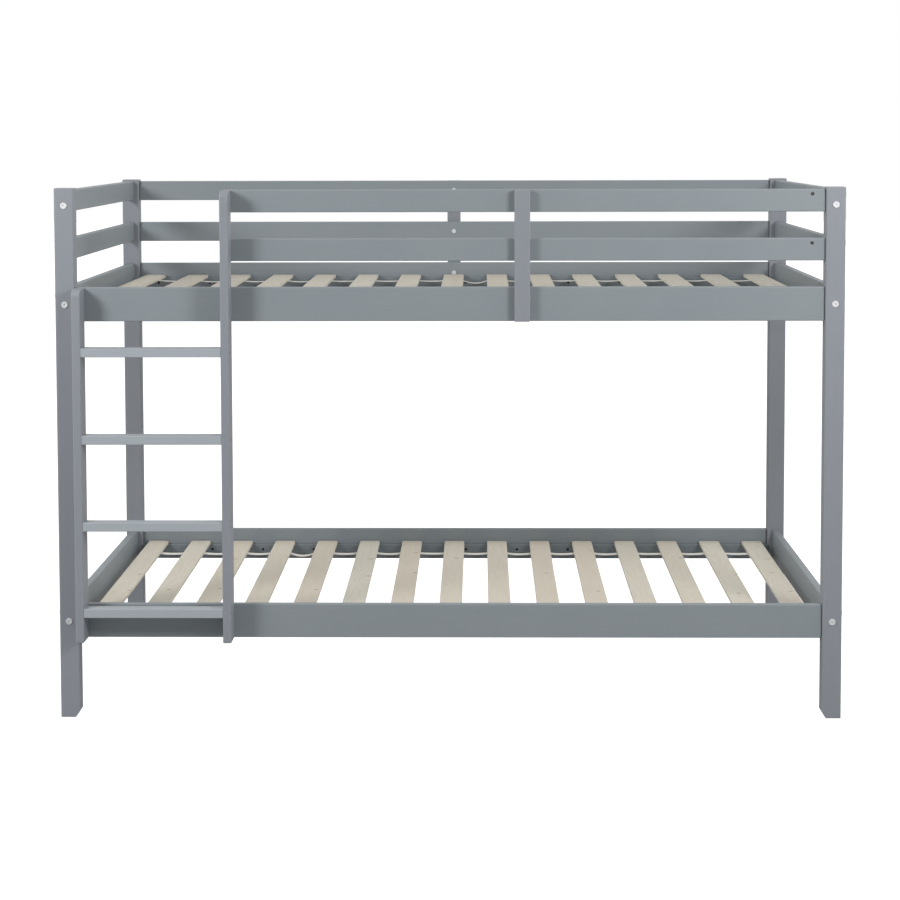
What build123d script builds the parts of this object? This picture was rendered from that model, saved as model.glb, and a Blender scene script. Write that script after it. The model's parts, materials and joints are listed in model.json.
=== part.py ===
from build123d import *
import os

# Bunk bed with ladder. Millimetres, +Z up, X along the bed, -Y is the ladder side.
# The origin is on the floor, midway between the outermost points in X and in Y.

# Overall frame
BED_LENGTH = 2019.0
BED_WIDTH = 1062.0
POST_WIDTH = 50.0  # along X
POST_DEPTH = 45.0  # along Y
POST_HEIGHT = 1372.0
POST_EDGE_RADIUS = 4.0
POST_TOP_RADIUS = 2.5
FOOT_CHAMFER_X = 11.0
FOOT_CHAMFER_Z = 17.0

# Boards: side rails, guard rails and end boards share one thickness
BOARD_THICK = 20.0
BOARD_EDGE_RADIUS = 3.0
RAIL_RECESS = 9.0  # from a post's outer face to a rail's outer face
SIDE_RAIL_HEIGHT = 88.0
LOWER_RAIL_TOP = 296.0
UPPER_RAIL_TOP = 1117.5
GUARD_HEIGHT = 58.0
GUARD_TOPS = {"top": 1367.0, "lower": 1242.0}
END_SLAT_HEIGHT = 56.0

# Ledgers, slats and the webbing that joins the slats
LEDGER_THICK = 20.0
LEDGER_HEIGHT = 43.0
SLAT_COUNT = 15
SLAT_PITCH = 130.0
SLAT_WIDTH = 60.0
SLAT_THICK = 9.0
SLAT_LENGTH = 990.0
SLAT_CORNER_RADIUS = 8.0
SLAT_EDGE = 1.0
STRAP_WIDTH = 25.0
STRAP_THICK = 1.2
STRAP_INSET = 153.0  # from a side rail's inner face to the strap's middle

# Ladder
STILE_WIDTH = 22.0
STILE_DEPTH = 65.0
STILE_TOP_RADIUS = 20.0
STILE_EDGE_RADIUS = 3.0
STILE_POST_GAP = 2.0
LADDER_WIDTH = 400.0
RUNG_COUNT = 4
RUNG_PITCH = 223.5
RUNG_HEIGHT = 23.0
RUNG_DEPTH = 40.0
RUNG_RECESS = 1.0  # from the stile's front edge to the rung's front edge
RUNG_EDGE_RADIUS = 2.0
GUARD_BEHIND_STILE = 20.0  # how far a guard rail runs behind the stile

# Upright that ties the front guard rails, and the one behind the rear rails
UPRIGHT_WIDTH = 40.0
UPRIGHT_THICK = 20.0
FRONT_UPRIGHT_X = 187.0
REAR_UPRIGHT_X = 0.0

# Connector bolts, barrel nuts, dowels and screws
SHANK_RADIUS = 3.0
SHANK_HOLE_RADIUS = 3.25
HEAD_RADIUS = 8.5
HEAD_THICK = 2.5
HEAD_BEVEL = 0.8
SMALL_HEAD_RADIUS = 6.5
SOCKET_FLATS = 5.0
SOCKET_DEPTH = 1.9
NUT_RADIUS = 4.9
NUT_HOLE_RADIUS = 5.0
NUT_LENGTH = 13.0
NUT_RECESS = 2.5  # from the board's face down to the slotted end of the nut
NUT_HOLE_DEPTH = 16.0
NUT_BORE_RADIUS = 3.1
NUT_SLOT_WIDTH = 1.4
NUT_SLOT_DEPTH = 1.2
NUT_INSET = 34.0  # from a board's end to its barrel nut
SHANK_PAST_NUT = 8.0
DOWEL_RADIUS = 3.95
DOWEL_HOLE_RADIUS = 4.0
DOWEL_LENGTH = 30.0
DOWEL_HOLE_DEPTH = 16.0
SCREW_HEAD_RADIUS = 4.0
SCREW_RADIUS = 2.0
SCREW_HEAD_DEPTH = 2.2
LEDGER_SCREW_LENGTH = 34.0
LEDGER_SCREW_PITCH = 156.0
LEDGER_SCREW_FIRST_X = -900.5
LEDGER_SCREW_COUNT = 12
LEDGER_SCREW_HEIGHT = 28.0  # above the ledger's lower edge
RUNG_SCREW_LENGTH = 55.0
UPRIGHT_BOLT_DEPTH = 15.0
STILE_BOLT_DEPTH = 38.0

# Heights of fixings, measured down from a board's top edge
RAIL_BOLT_DROP = 22.0
RAIL_DOWEL_DROP = 67.0
GUARD_BOLT_DROP = 13.0
GUARD_DOWEL_DROP = 42.0
GUARD_CROSS_BOLT_DROP = 29.0
END_BOARD_BOLT_DROP = 44.0
END_BOARD_DOWEL_DROPS = [18.0, 70.0]
END_TOP_SLAT_BOLT_DROP = 40.0
END_TOP_SLAT_DOWEL_DROPS = [17.0]
END_MIDDLE_SLAT_DOWEL_DROPS = [15.0, 41.0]
CROSS_BOLT_ABOVE_LEDGER = 14.0

# Places worked out from the sizes above
LADDER_PROUD = STILE_DEPTH - RAIL_RECESS  # how far the ladder stands in front of the posts
REAR_PROUD = UPRIGHT_THICK - RAIL_RECESS  # how far the rear upright stands behind the posts
FRONT_Y = LADDER_PROUD - (LADDER_PROUD + BED_WIDTH + REAR_PROUD) / 2
REAR_Y = FRONT_Y + BED_WIDTH
HALF_LENGTH = BED_LENGTH / 2
INNER_X = HALF_LENGTH - POST_WIDTH  # a post's inner face
POST_X = HALF_LENGTH - POST_WIDTH / 2
FRONT_POST_BACK_Y = FRONT_Y + POST_DEPTH
REAR_POST_FRONT_Y = REAR_Y - POST_DEPTH
FRONT_RAIL_OUTER_Y = FRONT_Y + RAIL_RECESS
FRONT_RAIL_INNER_Y = FRONT_RAIL_OUTER_Y + BOARD_THICK
REAR_RAIL_OUTER_Y = REAR_Y - RAIL_RECESS
REAR_RAIL_INNER_Y = REAR_RAIL_OUTER_Y - BOARD_THICK
MIDDLE_Y = (FRONT_Y + REAR_Y) / 2
STILE_FRONT_Y = FRONT_RAIL_OUTER_Y - STILE_DEPTH
RUNG_FRONT_Y = STILE_FRONT_Y + RUNG_RECESS
LEFT_STILE_X = -INNER_X + STILE_POST_GAP + STILE_WIDTH / 2
RIGHT_STILE_X = LEFT_STILE_X - STILE_WIDTH + LADDER_WIDTH
RUNG_LEFT_X = LEFT_STILE_X + STILE_WIDTH / 2
RUNG_RIGHT_X = RIGHT_STILE_X - STILE_WIDTH / 2
FRONT_GUARD_LEFT_X = RIGHT_STILE_X + STILE_WIDTH / 2 - GUARD_BEHIND_STILE
RAIL_TOPS = {"lower": LOWER_RAIL_TOP, "upper": UPPER_RAIL_TOP}
LEDGER_TOPS = {deck: top - SIDE_RAIL_HEIGHT + LEDGER_HEIGHT for deck, top in RAIL_TOPS.items()}
UPPER_CROSS_BOLT_Z = LEDGER_TOPS["upper"] + CROSS_BOLT_ABOVE_LEDGER
LOWER_CROSS_BOLT_Z = LEDGER_TOPS["lower"] + CROSS_BOLT_ABOVE_LEDGER
GUARD_CROSS_BOLT_ZS = [top - GUARD_CROSS_BOLT_DROP for top in GUARD_TOPS.values()]
RUNG_TOPS = [LOWER_RAIL_TOP + RUNG_PITCH * step for step in range(RUNG_COUNT)]
RUNG_SCREW_Y = RUNG_FRONT_Y + 9.0
RUNG_DOWEL_Y = RUNG_FRONT_Y + RUNG_DEPTH - 10.0
LEDGER_SCREW_XS = [LEDGER_SCREW_FIRST_X + LEDGER_SCREW_PITCH * i for i in range(LEDGER_SCREW_COUNT)]
SLAT_XS = [SLAT_PITCH * (i - (SLAT_COUNT - 1) / 2) for i in range(SLAT_COUNT)]

SIDES_X = {"left": -1, "right": 1}
SIDES_Y = {"front": -1, "rear": 1}


def rail_middle_y(side):
    """Mid-thickness of the front (-1) or rear (+1) rails."""
    if side < 0:
        return FRONT_RAIL_OUTER_Y + BOARD_THICK / 2
    return REAR_RAIL_OUTER_Y - BOARD_THICK / 2


def block(x, y, z):
    """A box from three (low, high) pairs."""
    size = [high - low for low, high in (x, y, z)]
    centre = [(low + high) / 2 for low, high in (x, y, z)]
    return Pos(*centre) * Box(*size)


def eased(solid, radius, axis=None):
    """Round every edge, or only those that run along one axis."""
    edges = solid.edges() if axis is None else solid.edges().filter_by(axis)
    return fillet(edges, radius)


def rod(start, direction, radius, length):
    """A round bar or drill from a start point along a direction."""
    aligned = Cylinder(radius, length, align=(Align.CENTER, Align.CENTER, Align.MIN))
    return Plane(origin=start, z_dir=direction) * aligned


def drilled(solid, drills):
    """The solid with every drill taken out, still as one solid."""
    result = solid - drills if drills else solid
    return result.solids()[0]


# ---------------------------------------------------------------- fixings

def connector_bolt(start, direction, length, head_radius=HEAD_RADIUS):
    """Flat-headed bolt whose head stands on the face at start."""
    frame = Plane(origin=start, z_dir=direction)
    head = Cylinder(head_radius, HEAD_THICK, align=(Align.CENTER, Align.CENTER, Align.MAX))
    outer_rim = head.edges().sort_by(Axis.Z)[0]
    head = chamfer(outer_rim, HEAD_BEVEL)
    shank = Cylinder(SHANK_RADIUS, length, align=(Align.CENTER, Align.CENTER, Align.MIN))
    socket_sketch = RegularPolygon(SOCKET_FLATS / 2, 6, major_radius=False)
    socket = extrude(Pos(0, 0, -HEAD_THICK) * socket_sketch, SOCKET_DEPTH)
    return (frame * (head + shank - socket)).solids()[0]


def bolt_hole(start, direction, length):
    """Clearance hole for a connector bolt."""
    return rod(start, direction, SHANK_HOLE_RADIUS, length)


def barrel_nut(face_point, direction, bolt_direction, middle_depth):
    """Slotted cross-dowel nut let into a board from face_point, bored for the bolt."""
    start = Vector(*face_point) + Vector(*direction) * NUT_RECESS
    body = rod(start, direction, NUT_RADIUS, NUT_LENGTH)
    centre = Vector(*face_point) + Vector(*direction) * middle_depth
    half_bore = Vector(*bolt_direction) * (NUT_RADIUS + 1)
    bore = rod(centre - half_bore, bolt_direction, NUT_BORE_RADIUS, 2 * (NUT_RADIUS + 1))
    slot = Box(2 * NUT_RADIUS, NUT_SLOT_WIDTH, 2 * NUT_SLOT_DEPTH)
    slot = Plane(origin=start, z_dir=direction) * Rot(0, 0, 90) * slot
    return (body - bore - slot).solids()[0]


def nut_hole(face_point, direction):
    """Blind cross hole for a barrel nut."""
    return rod(face_point, direction, NUT_HOLE_RADIUS, NUT_HOLE_DEPTH)


def dowel(joint_point, direction):
    """Wooden dowel, half on each side of a joint."""
    start = Vector(*joint_point) - Vector(*direction) * (DOWEL_LENGTH / 2)
    return rod(start, direction, DOWEL_RADIUS, DOWEL_LENGTH).solids()[0]


def dowel_hole(joint_point, direction):
    """Blind dowel hole from the joint into a board or post."""
    return rod(joint_point, direction, DOWEL_HOLE_RADIUS, DOWEL_HOLE_DEPTH)


def wood_screw(start, direction, length):
    """Countersunk screw with its head flush with the face at start."""
    frame = Plane(origin=start, z_dir=direction)
    lower = (Align.CENTER, Align.CENTER, Align.MIN)
    head = Cone(SCREW_HEAD_RADIUS, SCREW_RADIUS, SCREW_HEAD_DEPTH, align=lower)
    shank = Cylinder(SCREW_RADIUS, length, align=lower)
    recess = Box(SCREW_HEAD_RADIUS, 0.9, 1.6) + Box(0.9, SCREW_HEAD_RADIUS, 1.6)
    return (frame * (head + shank - recess)).solids()[0]


def screw_hole(start, direction, length):
    """Countersunk hole that fits a wood screw."""
    frame = Plane(origin=start, z_dir=direction)
    lower = (Align.CENTER, Align.CENTER, Align.MIN)
    head = Cone(SCREW_HEAD_RADIUS, SCREW_RADIUS, SCREW_HEAD_DEPTH, align=lower)
    return frame * (head + Cylinder(SCREW_RADIUS, length, align=lower))


# ---------------------------------------------------------------- where fixings go

def long_bolt_heights():
    """Rail name to (bolt height, dowel height) for the joints of rails to posts."""
    heights = {}
    for deck, top in RAIL_TOPS.items():
        heights[deck + "_rail"] = (top - RAIL_BOLT_DROP, top - RAIL_DOWEL_DROP)
    for level, top in GUARD_TOPS.items():
        heights["guard_" + level] = (top - GUARD_BOLT_DROP, top - GUARD_DOWEL_DROP)
    return heights


def end_bolt_heights():
    """Heights of the bolts from the posts into the end boards."""
    rails = [top - END_BOARD_BOLT_DROP for top in RAIL_TOPS.values()]
    return rails + [GUARD_TOPS["top"] - END_TOP_SLAT_BOLT_DROP]


def end_dowel_heights():
    """Heights of the dowels between the posts and the end boards."""
    heights = [top - drop for top in RAIL_TOPS.values() for drop in END_BOARD_DOWEL_DROPS]
    heights += [GUARD_TOPS["top"] - drop for drop in END_TOP_SLAT_DOWEL_DROPS]
    heights += [GUARD_TOPS["lower"] - drop for drop in END_MIDDLE_SLAT_DOWEL_DROPS]
    return heights


def rails_at_post(side_x, side_y):
    """Names of the rails that bolt to one post: the front left post has no guard rails."""
    names = list(long_bolt_heights())
    if side_x < 0 and side_y < 0:
        names = [name for name in names if not name.startswith("guard")]
    return names


def nuts_outside(rail_name, side_y):
    """Whether a rail's barrel nuts go in from its outer face: all but a front side rail's do."""
    return side_y > 0 or rail_name.startswith("guard")


# ---------------------------------------------------------------- wooden pieces

def post(side_x, side_y):
    """Corner post, drilled, with the inner corner of its foot cut away."""
    x_faces = sorted([side_x * INNER_X, side_x * HALF_LENGTH])
    if side_y < 0:
        outer_y, inner_y = FRONT_Y, FRONT_POST_BACK_Y
    else:
        outer_y, inner_y = REAR_Y, REAR_POST_FRONT_Y
    body = block(x_faces, sorted([outer_y, inner_y]), (0, POST_HEIGHT))
    inner_x = side_x * INNER_X
    corner = Polyline(
        (inner_x, 0),
        (inner_x + side_x * FOOT_CHAMFER_X, 0),
        (inner_x, FOOT_CHAMFER_Z),
        (inner_x - side_x, FOOT_CHAMFER_Z),
        (inner_x - side_x, 0),
        close=True,
    )
    wedge = extrude(Plane.XZ * make_face(corner), BED_WIDTH, both=True)
    body = eased((body - wedge).solids()[0], POST_EDGE_RADIUS, Axis.Z)
    body = fillet(body.faces().sort_by(Axis.Z)[-1].edges(), POST_TOP_RADIUS)
    rail_y = rail_middle_y(side_y)
    drills = []
    heights = long_bolt_heights()
    for name in rails_at_post(side_x, side_y):
        bolt_z, dowel_z = heights[name]
        drills.append(bolt_hole((side_x * HALF_LENGTH, rail_y, bolt_z), (-side_x, 0, 0), POST_WIDTH))
        drills.append(dowel_hole((inner_x, rail_y, dowel_z), (side_x, 0, 0)))
    for z in end_bolt_heights():
        drills.append(bolt_hole((side_x * POST_X, outer_y, z), (0, -side_y, 0), POST_DEPTH))
    for z in end_dowel_heights():
        drills.append(dowel_hole((side_x * POST_X, inner_y, z), (0, side_y, 0)))
    return drilled(body, drills)


def rail_end_drills(rail_name, side_x, side_y):
    """Bolt, nut and dowel holes in the end of a rail that meets a post."""
    bolt_z, dowel_z = long_bolt_heights()[rail_name]
    middle_y = rail_middle_y(side_y)
    into_rail = (-side_x, 0, 0)
    end_x = side_x * INNER_X
    face_side = side_y if nuts_outside(rail_name, side_y) else -side_y
    face_y = middle_y + face_side * BOARD_THICK / 2
    nut_x = end_x - side_x * NUT_INSET
    return [
        bolt_hole((end_x, middle_y, bolt_z), into_rail, NUT_INSET + SHANK_PAST_NUT + 2),
        nut_hole((nut_x, face_y, bolt_z), (0, -face_side, 0)),
        dowel_hole((end_x, middle_y, dowel_z), into_rail),
    ]


def side_rail(deck, side_y):
    """Long rail between the posts, drilled for its ledger and for the ladder and uprights."""
    top = RAIL_TOPS[deck]
    middle_y = rail_middle_y(side_y)
    y_faces = (middle_y - BOARD_THICK / 2, middle_y + BOARD_THICK / 2)
    body = block((-INNER_X, INNER_X), y_faces, (top - SIDE_RAIL_HEIGHT, top))
    body = eased(body, BOARD_EDGE_RADIUS)
    name = deck + "_rail"
    drills = []
    for side_x in SIDES_X.values():
        drills += rail_end_drills(name, side_x, side_y)
    inner_y = middle_y - side_y * BOARD_THICK / 2
    screw_z = top - SIDE_RAIL_HEIGHT + LEDGER_SCREW_HEIGHT
    for x in LEDGER_SCREW_XS:
        screw_depth = LEDGER_SCREW_LENGTH - LEDGER_THICK
        drills.append(rod((x, inner_y, screw_z), (0, side_y, 0), SCREW_RADIUS, screw_depth))
    for x, z in cross_bolts(side_y):
        if top - SIDE_RAIL_HEIGHT < z < top:
            drills.append(bolt_hole((x, inner_y, z), (0, side_y, 0), BOARD_THICK))
    return drilled(body, drills)


def cross_bolts(side_y):
    """(x, z) of the bolts through the rails into the ladder and the uprights."""
    if side_y > 0:
        return [(REAR_UPRIGHT_X, z) for z in [UPPER_CROSS_BOLT_Z] + GUARD_CROSS_BOLT_ZS]
    places = [(FRONT_UPRIGHT_X, z) for z in [UPPER_CROSS_BOLT_Z] + GUARD_CROSS_BOLT_ZS]
    places += [(LEFT_STILE_X, z) for z in [LOWER_CROSS_BOLT_Z, UPPER_CROSS_BOLT_Z]]
    right_heights = [LOWER_CROSS_BOLT_Z, UPPER_CROSS_BOLT_Z] + GUARD_CROSS_BOLT_ZS
    return places + [(RIGHT_STILE_X, z) for z in right_heights]


def guard_rail(level, side_y):
    """Guard rail: the rear one spans both posts, the front one stops behind the ladder."""
    top = GUARD_TOPS[level]
    middle_y = rail_middle_y(side_y)
    y_faces = (middle_y - BOARD_THICK / 2, middle_y + BOARD_THICK / 2)
    left_x = FRONT_GUARD_LEFT_X if side_y < 0 else -INNER_X
    body = block((left_x, INNER_X), y_faces, (top - GUARD_HEIGHT, top))
    body = eased(body, BOARD_EDGE_RADIUS)
    name = "guard_" + level
    drills = []
    for side_x in ([1] if side_y < 0 else [-1, 1]):
        drills += rail_end_drills(name, side_x, side_y)
    inner_y = middle_y - side_y * BOARD_THICK / 2
    for x, z in cross_bolts(side_y):
        if top - GUARD_HEIGHT < z < top:
            drills.append(bolt_hole((x, inner_y, z), (0, side_y, 0), BOARD_THICK))
    return drilled(body, drills)


def end_board(side_x, top, height, bolt_z, dowel_zs):
    """Board across one end of the bed, between the front and rear posts."""
    x_faces = (side_x * POST_X - BOARD_THICK / 2, side_x * POST_X + BOARD_THICK / 2)
    body = block(x_faces, (FRONT_POST_BACK_Y, REAR_POST_FRONT_Y), (top - height, top))
    body = eased(body, BOARD_EDGE_RADIUS)
    inner_face_x = side_x * (POST_X - BOARD_THICK / 2)
    drills = []
    for end_y, inward in ((FRONT_POST_BACK_Y, 1), (REAR_POST_FRONT_Y, -1)):
        if bolt_z is not None:
            depth = NUT_INSET + SHANK_PAST_NUT + 2
            drills.append(bolt_hole((side_x * POST_X, end_y, bolt_z), (0, inward, 0), depth))
            nut_y = end_y + inward * NUT_INSET
            drills.append(nut_hole((inner_face_x, nut_y, bolt_z), (side_x, 0, 0)))
        for z in dowel_zs:
            drills.append(dowel_hole((side_x * POST_X, end_y, z), (0, inward, 0)))
    return drilled(body, drills)


def end_board_family(side_x):
    """The four boards of one end, by name."""
    boards = {}
    for deck, top in RAIL_TOPS.items():
        dowel_zs = [top - drop for drop in END_BOARD_DOWEL_DROPS]
        bolt_z = top - END_BOARD_BOLT_DROP
        boards[deck + "_board"] = end_board(side_x, top, SIDE_RAIL_HEIGHT, bolt_z, dowel_zs)
    top = GUARD_TOPS["top"]
    dowel_zs = [top - drop for drop in END_TOP_SLAT_DOWEL_DROPS]
    bolt_z = top - END_TOP_SLAT_BOLT_DROP
    boards["top_slat"] = end_board(side_x, top, END_SLAT_HEIGHT, bolt_z, dowel_zs)
    top = GUARD_TOPS["lower"]
    dowel_zs = [top - drop for drop in END_MIDDLE_SLAT_DOWEL_DROPS]
    boards["middle_slat"] = end_board(side_x, top, END_SLAT_HEIGHT, None, dowel_zs)
    return boards


def ledger(deck, side_y):
    """Strip screwed inside a side rail to carry the slats."""
    top = LEDGER_TOPS[deck]
    inner_y = rail_middle_y(side_y) - side_y * BOARD_THICK / 2
    y_faces = sorted([inner_y, inner_y - side_y * LEDGER_THICK])
    body = block((-INNER_X, INNER_X), y_faces, (top - LEDGER_HEIGHT, top))
    body = eased(body, 1.0, Axis.X)
    face_y = inner_y - side_y * LEDGER_THICK
    z = top - LEDGER_HEIGHT + LEDGER_SCREW_HEIGHT
    drills = [screw_hole((x, face_y, z), (0, side_y, 0), LEDGER_THICK) for x in LEDGER_SCREW_XS]
    return drilled(body, drills)


def upright(centre_x, side_y):
    """Flat upright on the outside of the guard rails and the upper side rail."""
    outer_y = rail_middle_y(side_y) + side_y * BOARD_THICK / 2
    y_faces = sorted([outer_y, outer_y + side_y * UPRIGHT_THICK])
    x_faces = (centre_x - UPRIGHT_WIDTH / 2, centre_x + UPRIGHT_WIDTH / 2)
    body = block(x_faces, y_faces, (UPPER_RAIL_TOP - SIDE_RAIL_HEIGHT, GUARD_TOPS["top"]))
    body = eased(body, BOARD_EDGE_RADIUS)
    drills = []
    for z in [UPPER_CROSS_BOLT_Z] + GUARD_CROSS_BOLT_ZS:
        drills.append(bolt_hole((centre_x, outer_y, z), (0, side_y, 0), UPRIGHT_BOLT_DEPTH + 1))
    return drilled(body, drills)


def stile(centre_x, top, bolt_zs, side_x):
    """Ladder side with a rounded front top corner, drilled for bolts, screws and dowels."""
    bottom = LOWER_RAIL_TOP - SIDE_RAIL_HEIGHT
    x_faces = (centre_x - STILE_WIDTH / 2, centre_x + STILE_WIDTH / 2)
    body = block(x_faces, (STILE_FRONT_Y, FRONT_RAIL_OUTER_Y), (bottom, top))
    across = body.edges().filter_by(Axis.X)
    front_top = across.group_by(Axis.Z)[-1].sort_by(Axis.Y)[0]
    body = fillet(front_top, STILE_TOP_RADIUS)
    body = eased(body, STILE_EDGE_RADIUS)
    outer_x = centre_x + side_x * STILE_WIDTH / 2
    inner_x = centre_x - side_x * STILE_WIDTH / 2
    drills = []
    for z in bolt_zs:
        start = (centre_x, FRONT_RAIL_OUTER_Y, z)
        drills.append(bolt_hole(start, (0, -1, 0), STILE_BOLT_DEPTH + 1))
    for rung_top in RUNG_TOPS:
        z = rung_top - RUNG_HEIGHT / 2
        drills.append(screw_hole((outer_x, RUNG_SCREW_Y, z), (-side_x, 0, 0), STILE_WIDTH))
        drills.append(dowel_hole((inner_x, RUNG_DOWEL_Y, z), (side_x, 0, 0)))
    return drilled(body, drills)


def rung(top):
    """Ladder tread between the stiles."""
    y_faces = (RUNG_FRONT_Y, RUNG_FRONT_Y + RUNG_DEPTH)
    body = block((RUNG_LEFT_X, RUNG_RIGHT_X), y_faces, (top - RUNG_HEIGHT, top))
    body = eased(body, RUNG_EDGE_RADIUS, Axis.X)
    z = top - RUNG_HEIGHT / 2
    drills = []
    for end_x, inward in ((RUNG_LEFT_X, 1), (RUNG_RIGHT_X, -1)):
        depth = RUNG_SCREW_LENGTH - STILE_WIDTH
        drills.append(rod((end_x, RUNG_SCREW_Y, z), (inward, 0, 0), SCREW_RADIUS, depth))
        drills.append(dowel_hole((end_x, RUNG_DOWEL_Y, z), (inward, 0, 0)))
    return drilled(body, drills)


# ---------------------------------------------------------------- slats and webbing

def slat(centre_x, bottom):
    """Loose slat with rounded corners and eased edges."""
    x_faces = (centre_x - SLAT_WIDTH / 2, centre_x + SLAT_WIDTH / 2)
    y_faces = (MIDDLE_Y - SLAT_LENGTH / 2, MIDDLE_Y + SLAT_LENGTH / 2)
    body = block(x_faces, y_faces, (bottom, bottom + SLAT_THICK))
    body = eased(body, SLAT_CORNER_RADIUS, Axis.Z)
    flat_faces = body.faces().sort_by(Axis.Z)
    return chamfer(flat_faces[0].edges() + flat_faces[-1].edges(), SLAT_EDGE)


def straps(slat_bottom):
    """Two webbing straps under the slats of one deck."""
    half_run = SLAT_XS[-1] + SLAT_WIDTH / 2
    z_faces = (slat_bottom - STRAP_THICK, slat_bottom)
    solids = []
    for middle_y in (FRONT_RAIL_INNER_Y + STRAP_INSET, REAR_RAIL_INNER_Y - STRAP_INSET):
        y_faces = (middle_y - STRAP_WIDTH / 2, middle_y + STRAP_WIDTH / 2)
        solids.append(block((-half_run, half_run), y_faces, z_faces))
    return Compound(solids)


# ---------------------------------------------------------------- groups of fixings

def rail_bolts():
    """Long bolts from the posts' outer faces into the side rails and guard rails."""
    bolts = []
    length = POST_WIDTH + NUT_INSET + SHANK_PAST_NUT
    heights = long_bolt_heights()
    for side_x in SIDES_X.values():
        for side_y in SIDES_Y.values():
            for name in rails_at_post(side_x, side_y):
                start = (side_x * HALF_LENGTH, rail_middle_y(side_y), heights[name][0])
                bolts.append(connector_bolt(start, (-side_x, 0, 0), length))
    return Compound(bolts)


def end_board_bolts():
    """Bolts from the posts' front and rear faces into the end boards."""
    bolts = []
    length = POST_DEPTH + NUT_INSET + SHANK_PAST_NUT
    for side_x in SIDES_X.values():
        for side_y, face_y in ((-1, FRONT_Y), (1, REAR_Y)):
            for z in end_bolt_heights():
                bolts.append(connector_bolt((side_x * POST_X, face_y, z), (0, -side_y, 0), length))
    return Compound(bolts)


def barrel_nuts():
    """Cross-dowel nuts in the rails, guard rails and end boards."""
    nuts = []
    heights = long_bolt_heights()
    for side_x in SIDES_X.values():
        for side_y in SIDES_Y.values():
            for name in rails_at_post(side_x, side_y):
                face_side = side_y if nuts_outside(name, side_y) else -side_y
                face_y = rail_middle_y(side_y) + face_side * BOARD_THICK / 2
                face_point = (side_x * (INNER_X - NUT_INSET), face_y, heights[name][0])
                direction = (0, -face_side, 0)
                nuts.append(barrel_nut(face_point, direction, (side_x, 0, 0), BOARD_THICK / 2))
        inner_face_x = side_x * (POST_X - BOARD_THICK / 2)
        for nut_y in (FRONT_POST_BACK_Y + NUT_INSET, REAR_POST_FRONT_Y - NUT_INSET):
            for z in end_bolt_heights():
                face_point = (inner_face_x, nut_y, z)
                nuts.append(barrel_nut(face_point, (side_x, 0, 0), (0, 1, 0), BOARD_THICK / 2))
    return Compound(nuts)


def dowels():
    """Wooden dowels of every rail, end board and rung."""
    pegs = []
    heights = long_bolt_heights()
    for side_x in SIDES_X.values():
        for side_y in SIDES_Y.values():
            for name in rails_at_post(side_x, side_y):
                joint_point = (side_x * INNER_X, rail_middle_y(side_y), heights[name][1])
                pegs.append(dowel(joint_point, (1, 0, 0)))
        for joint_y in (FRONT_POST_BACK_Y, REAR_POST_FRONT_Y):
            for z in end_dowel_heights():
                pegs.append(dowel((side_x * POST_X, joint_y, z), (0, 1, 0)))
    for joint_x in (RUNG_LEFT_X, RUNG_RIGHT_X):
        for top in RUNG_TOPS:
            pegs.append(dowel((joint_x, RUNG_DOWEL_Y, top - RUNG_HEIGHT / 2), (1, 0, 0)))
    return Compound(pegs)


def ledger_screws():
    """Screws that hold the ledgers to the side rails."""
    screws = []
    for side_y in SIDES_Y.values():
        face_y = rail_middle_y(side_y) - side_y * (BOARD_THICK / 2 + LEDGER_THICK)
        for top in LEDGER_TOPS.values():
            z = top - LEDGER_HEIGHT + LEDGER_SCREW_HEIGHT
            for x in LEDGER_SCREW_XS:
                screws.append(wood_screw((x, face_y, z), (0, side_y, 0), LEDGER_SCREW_LENGTH))
    return Compound(screws)


def ladder_bolts():
    """Bolts through the front rails into the backs of the ladder stiles."""
    return cross_bolt_group(-1, lambda x: x != FRONT_UPRIGHT_X, STILE_BOLT_DEPTH)


def upright_bolts():
    """Bolts through the rails into the front and rear uprights."""
    front = cross_bolt_group(-1, lambda x: x == FRONT_UPRIGHT_X, UPRIGHT_BOLT_DEPTH)
    rear = cross_bolt_group(1, lambda x: True, UPRIGHT_BOLT_DEPTH)
    return Compound(list(front.solids()) + list(rear.solids()))


def cross_bolt_group(side_y, wanted, depth):
    """Bolts with their heads on a rail's inner face."""
    inner_y = rail_middle_y(side_y) - side_y * BOARD_THICK / 2
    bolts = []
    for x, z in cross_bolts(side_y):
        if wanted(x):
            start = (x, inner_y, z)
            length = BOARD_THICK + depth
            bolts.append(connector_bolt(start, (0, side_y, 0), length, SMALL_HEAD_RADIUS))
    return Compound(bolts)


def rung_screws():
    """One screw through a stile into each end of each rung."""
    screws = []
    for centre_x, side_x in ((LEFT_STILE_X, -1), (RIGHT_STILE_X, 1)):
        outer_x = centre_x + side_x * STILE_WIDTH / 2
        for top in RUNG_TOPS:
            start = (outer_x, RUNG_SCREW_Y, top - RUNG_HEIGHT / 2)
            screws.append(wood_screw(start, (-side_x, 0, 0), RUNG_SCREW_LENGTH))
    return Compound(screws)


# ---------------------------------------------------------------- the whole bed

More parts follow.
